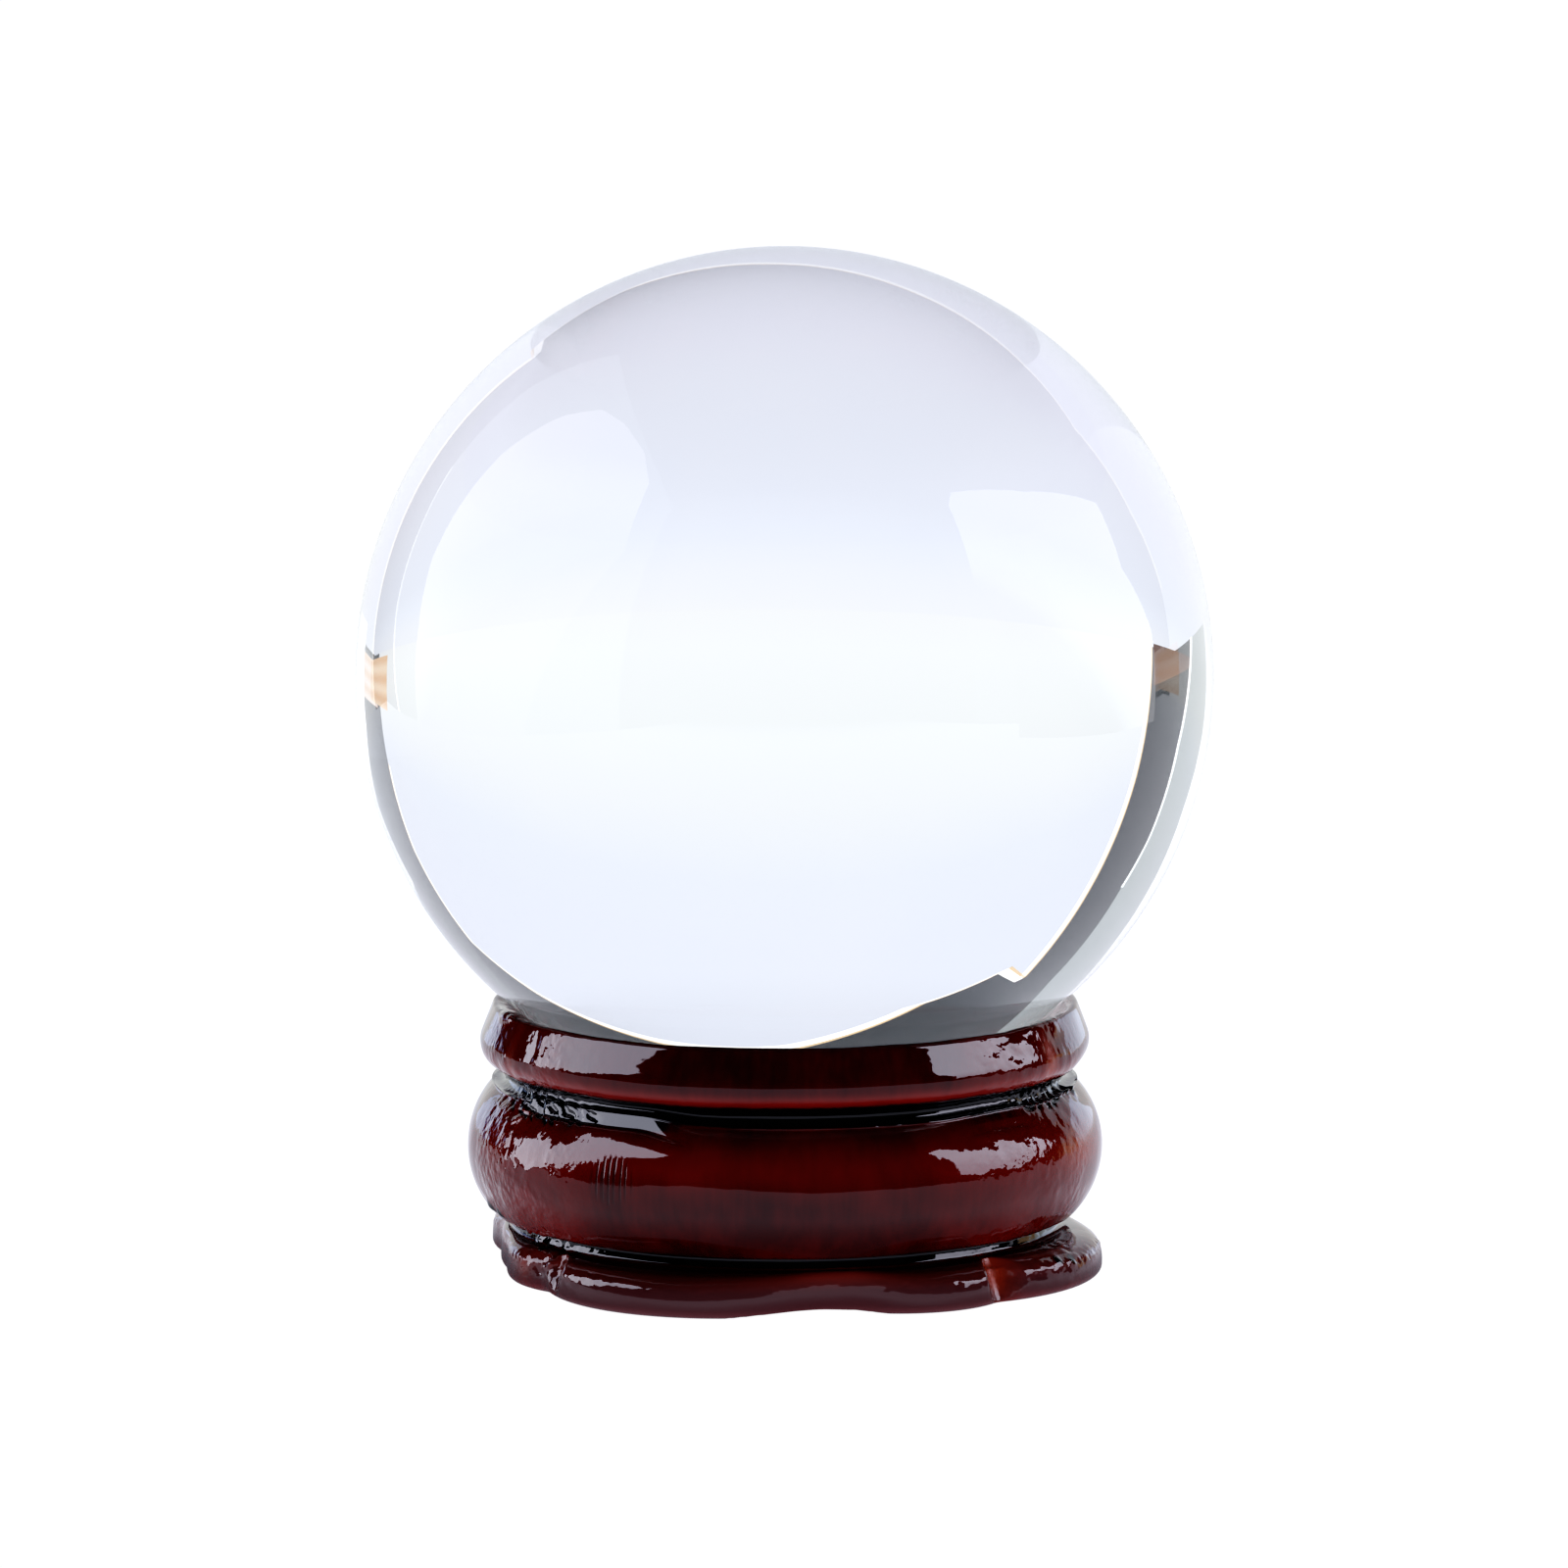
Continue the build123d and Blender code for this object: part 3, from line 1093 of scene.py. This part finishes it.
def addFloor():
    # the white table top that the camera sees
    size = studio["floor"]
    half = size["half"]
    floor = addRectangle("floor", -half, half, -half, half)
    material, shader = newMaterial("floorPaper")
    away = shader.length(shader.place())
    paper = shader.add("ShaderNodeBsdfDiffuse", {}, {"Color": size["albedo"]})
    glow = shader.add("ShaderNodeEmission", {}, {"Color": faded(shader, away, size)})
    shader.finish(shader.add("ShaderNodeAddShader", {}, {0: paper, 1: glow}))
    floor.data.materials.append(material)
    hideFrom(floor, "glossy", "transmission")


def addTentFloor():
    # the tent's own floor, which shows only in the glass and the lacquer: it glows with painted light,
    # brightest at the foot of the back sheet and dimmer away from it
    size = studio["tentFloor"]
    limits = [size[side] * mm for side in ("left", "right", "front", "back", "lift")]
    tent = addRectangle("tentFloor", *limits)
    spot = Vector((*size["brightSpot"], 0)) * mm

    def colour(shader):
        offset = shader.add("ShaderNodeVectorMath", {"operation": "SUBTRACT"}, {0: shader.place(), 1: spot})
        squeeze = (1 / size["spotWidth"], 1, 1)
        offset = shader.add("ShaderNodeVectorMath", {"operation": "MULTIPLY"}, {0: offset, 1: squeeze})
        return faded(shader, shader.length(offset), size)

    tent.data.materials.append(glowMaterial("tentPaper", colour))
    hideFrom(tent, "camera", "diffuse", "shadow")


def addShade(name):
    # a shadow on the tent's floor, dark at the first limit of its fade and gone at the second:
    # distances from the axis where it is round, and else towards the front
    size = studio[name]
    low, high, reach, back = (limit * mm for limit in (*size["fade"], size["reach"], size["back"]))
    shade = addRectangle(name, -reach, reach, -reach, back, studio["shadeLift"] * mm)
    material, shader = newMaterial(name + "Paper")
    place = shader.place()
    away = shader.length(place) if size.get("round") else shader.axes(place)[1] * -1.0
    share = away.between(low, high)
    if size.get("innerOnly"):
        # it dims only what is mirrored inside the ball, and not what shows through it
        mirrored = shader.add("ShaderNodeLightPath", output="Glossy Depth").clamp()
        share = (share + (1.0 - mirrored)).clamp()
    dark = shader.add("ShaderNodeEmission", {}, {"Color": size["colour"]})
    clear = shader.add("ShaderNodeBsdfTransparent")
    soft = shader.add("ShaderNodeMixShader", {}, {0: share, 1: dark, 2: clear})
    shader.finish(soft)
    shade.data.materials.append(material)
    hideFrom(shade, "camera", "diffuse", "shadow", size["hiddenFrom"])


def addDome():
    # pale surroundings that only the camera sees
    size = studio["dome"]
    dome = closedSurface("paleDome", sphereGrid(size["rows"], size["columns"]) * size["radius"])
    dome.data.materials.append(glowMaterial("palePaper", size["colour"]))
    hideFrom(dome, "diffuse", "glossy", "transmission", "shadow")


def addSheet(name, across=0, clear=False):
    # a flat upright sheet of the light tent, which the camera doesn't see: it shows in the glass and the
    # lacquer. The softboxes, panels and tent sheets glow as lamps; the walls, the post and the wooden
    # blocks glow with painted light, in place of light falling on them. It stands at one place along Y
    # (across=0) or X (across=1), and its colours run up it, or up a slope, or in stripes
    sheet = studio[name]
    outline = np.array(sheet["outline"], float) * mm
    vertices = np.insert(outline, 1 - across, sheet["place"] * mm, axis=1)
    piece = addMesh(name, vertices, [list(range(len(vertices)))])

    def colour(shader):
        depth, height = shader.axes(shader.place())[1:]
        if "stripes" in sheet:
            wave = (height * (2 * math.pi / (sheet["stripes"] * mm))).cosine()
            return shader.mix((wave * 0.5 + 0.5).clamp(), *sheet["colours"])
        if "slope" in sheet:
            height = height + depth * sheet["slope"]
        return faded(shader, height, sheet)

    piece.data.materials.append(glowMaterial(name + "Cloth", colour, clear))
    hideFrom(piece, "camera")
    return piece


def addTrim(name):
    # a narrow strip inside the back sheet's edge: its corners moved inwards by the inset and by the
    # inset and the width together
    # it glows: painted light along the back sheet's edge
    trim, sheet = studio[name], studio["backSheet"]
    outline = np.array(sheet["outline"], float)
    run = outline[slice(*trim["corners"])]
    inward = outline.mean(0) - run
    inward /= np.linalg.norm(inward, axis=1)[:, None]
    rims = [run + inward * depth for depth in (trim["inset"], trim["inset"] + trim["width"])]
    vertices = np.insert(np.vstack(rims) * mm, 1, (sheet["place"] - studio["trimGap"]) * mm, axis=1)
    outer = np.arange(len(run) - 1)
    inner = outer + len(run)
    piece = addMesh(name, vertices, np.stack([outer, outer + 1, inner + 1, inner], -1).tolist())
    piece.data.materials.append(glowMaterial(name + "Cloth", trim["colour"]))
    hideFrom(piece, "camera")


def addWorld():
    # the air of the tent, which fills in wherever no sheet stands
    world = bpy.data.worlds.new("studioAir")
    bpy.context.scene.world = world
    shader = Shader(world)
    air = shader.add("ShaderNodeBackground", {}, {"Color": studio["airColour"], "Strength": 1.0})
    shader.finish(air, "ShaderNodeOutputWorld")


def setToneCurve():
    # one curve for the three colours: the deepest tones fall towards black
    settings = bpy.context.scene.view_settings
    settings.view_transform = "Standard"
    settings.use_curve_mapping = True
    curve = settings.curve_mapping.curves[3]
    for tone, value in studio["toneCurve"]:
        curve.points.new(tone, value)
    settings.curve_mapping.update()


view = {
    "distance": 0.70,  # metres; the aim and the width of the frame are millimetres on a 40 mm ball
    "azimuth": 1.7,
    "elevation": 8.82,
    "aim": (-0.03, 0.0, 22.73),
    "frameWidth": 73.13,
    "sensorWidth": 36,
    "clip": (0.01, 20),
}


def addCamera():
    turn, rise = math.radians(view["azimuth"]), math.radians(view["elevation"])
    back = Vector((math.sin(turn) * math.cos(rise), -math.cos(turn) * math.cos(rise), math.sin(rise)))
    lens = bpy.data.cameras.new("camera")
    lens.sensor_width = view["sensorWidth"]
    lens.lens = view["sensorWidth"] * view["distance"] / (view["frameWidth"] * mm)
    lens.clip_start, lens.clip_end = view["clip"]
    camera = bpy.data.objects.new("camera", lens)
    camera.location = Vector(view["aim"]) * mm + back * view["distance"]
    camera.rotation_euler = back.to_track_quat("Z", "Y").to_euler()
    bpy.context.scene.collection.objects.link(camera)
    bpy.context.scene.camera = camera


addFloor()
addTentFloor()
for name in ("standShade", "frontShade", "farShade"):
    addShade(name)
addDome()
for name in ("backSheet", "leftBlock", "rightBlock"):
    addSheet(name)
for name in ("leftWall", "leftPost", "leftSoftbox", "rightWall", "rightBlockSide", "rightSoftbox"):
    lightOnly(addSheet(name, across=1), glassBall)
hideFrom(addSheet("frontSheet"), "glossy", "diffuse")
for name, across in (("leftPanel", 1), ("rightPanel", 1), ("leftWing", 0), ("rightWing", 0)):
    lightOnly(addSheet(name, across, clear=True), turnedStand)
for name in ("warmTrim", "whiteTrim"):
    addTrim(name)
addWorld()
addCamera()
setToneCurve()
print("stage, light and camera made")
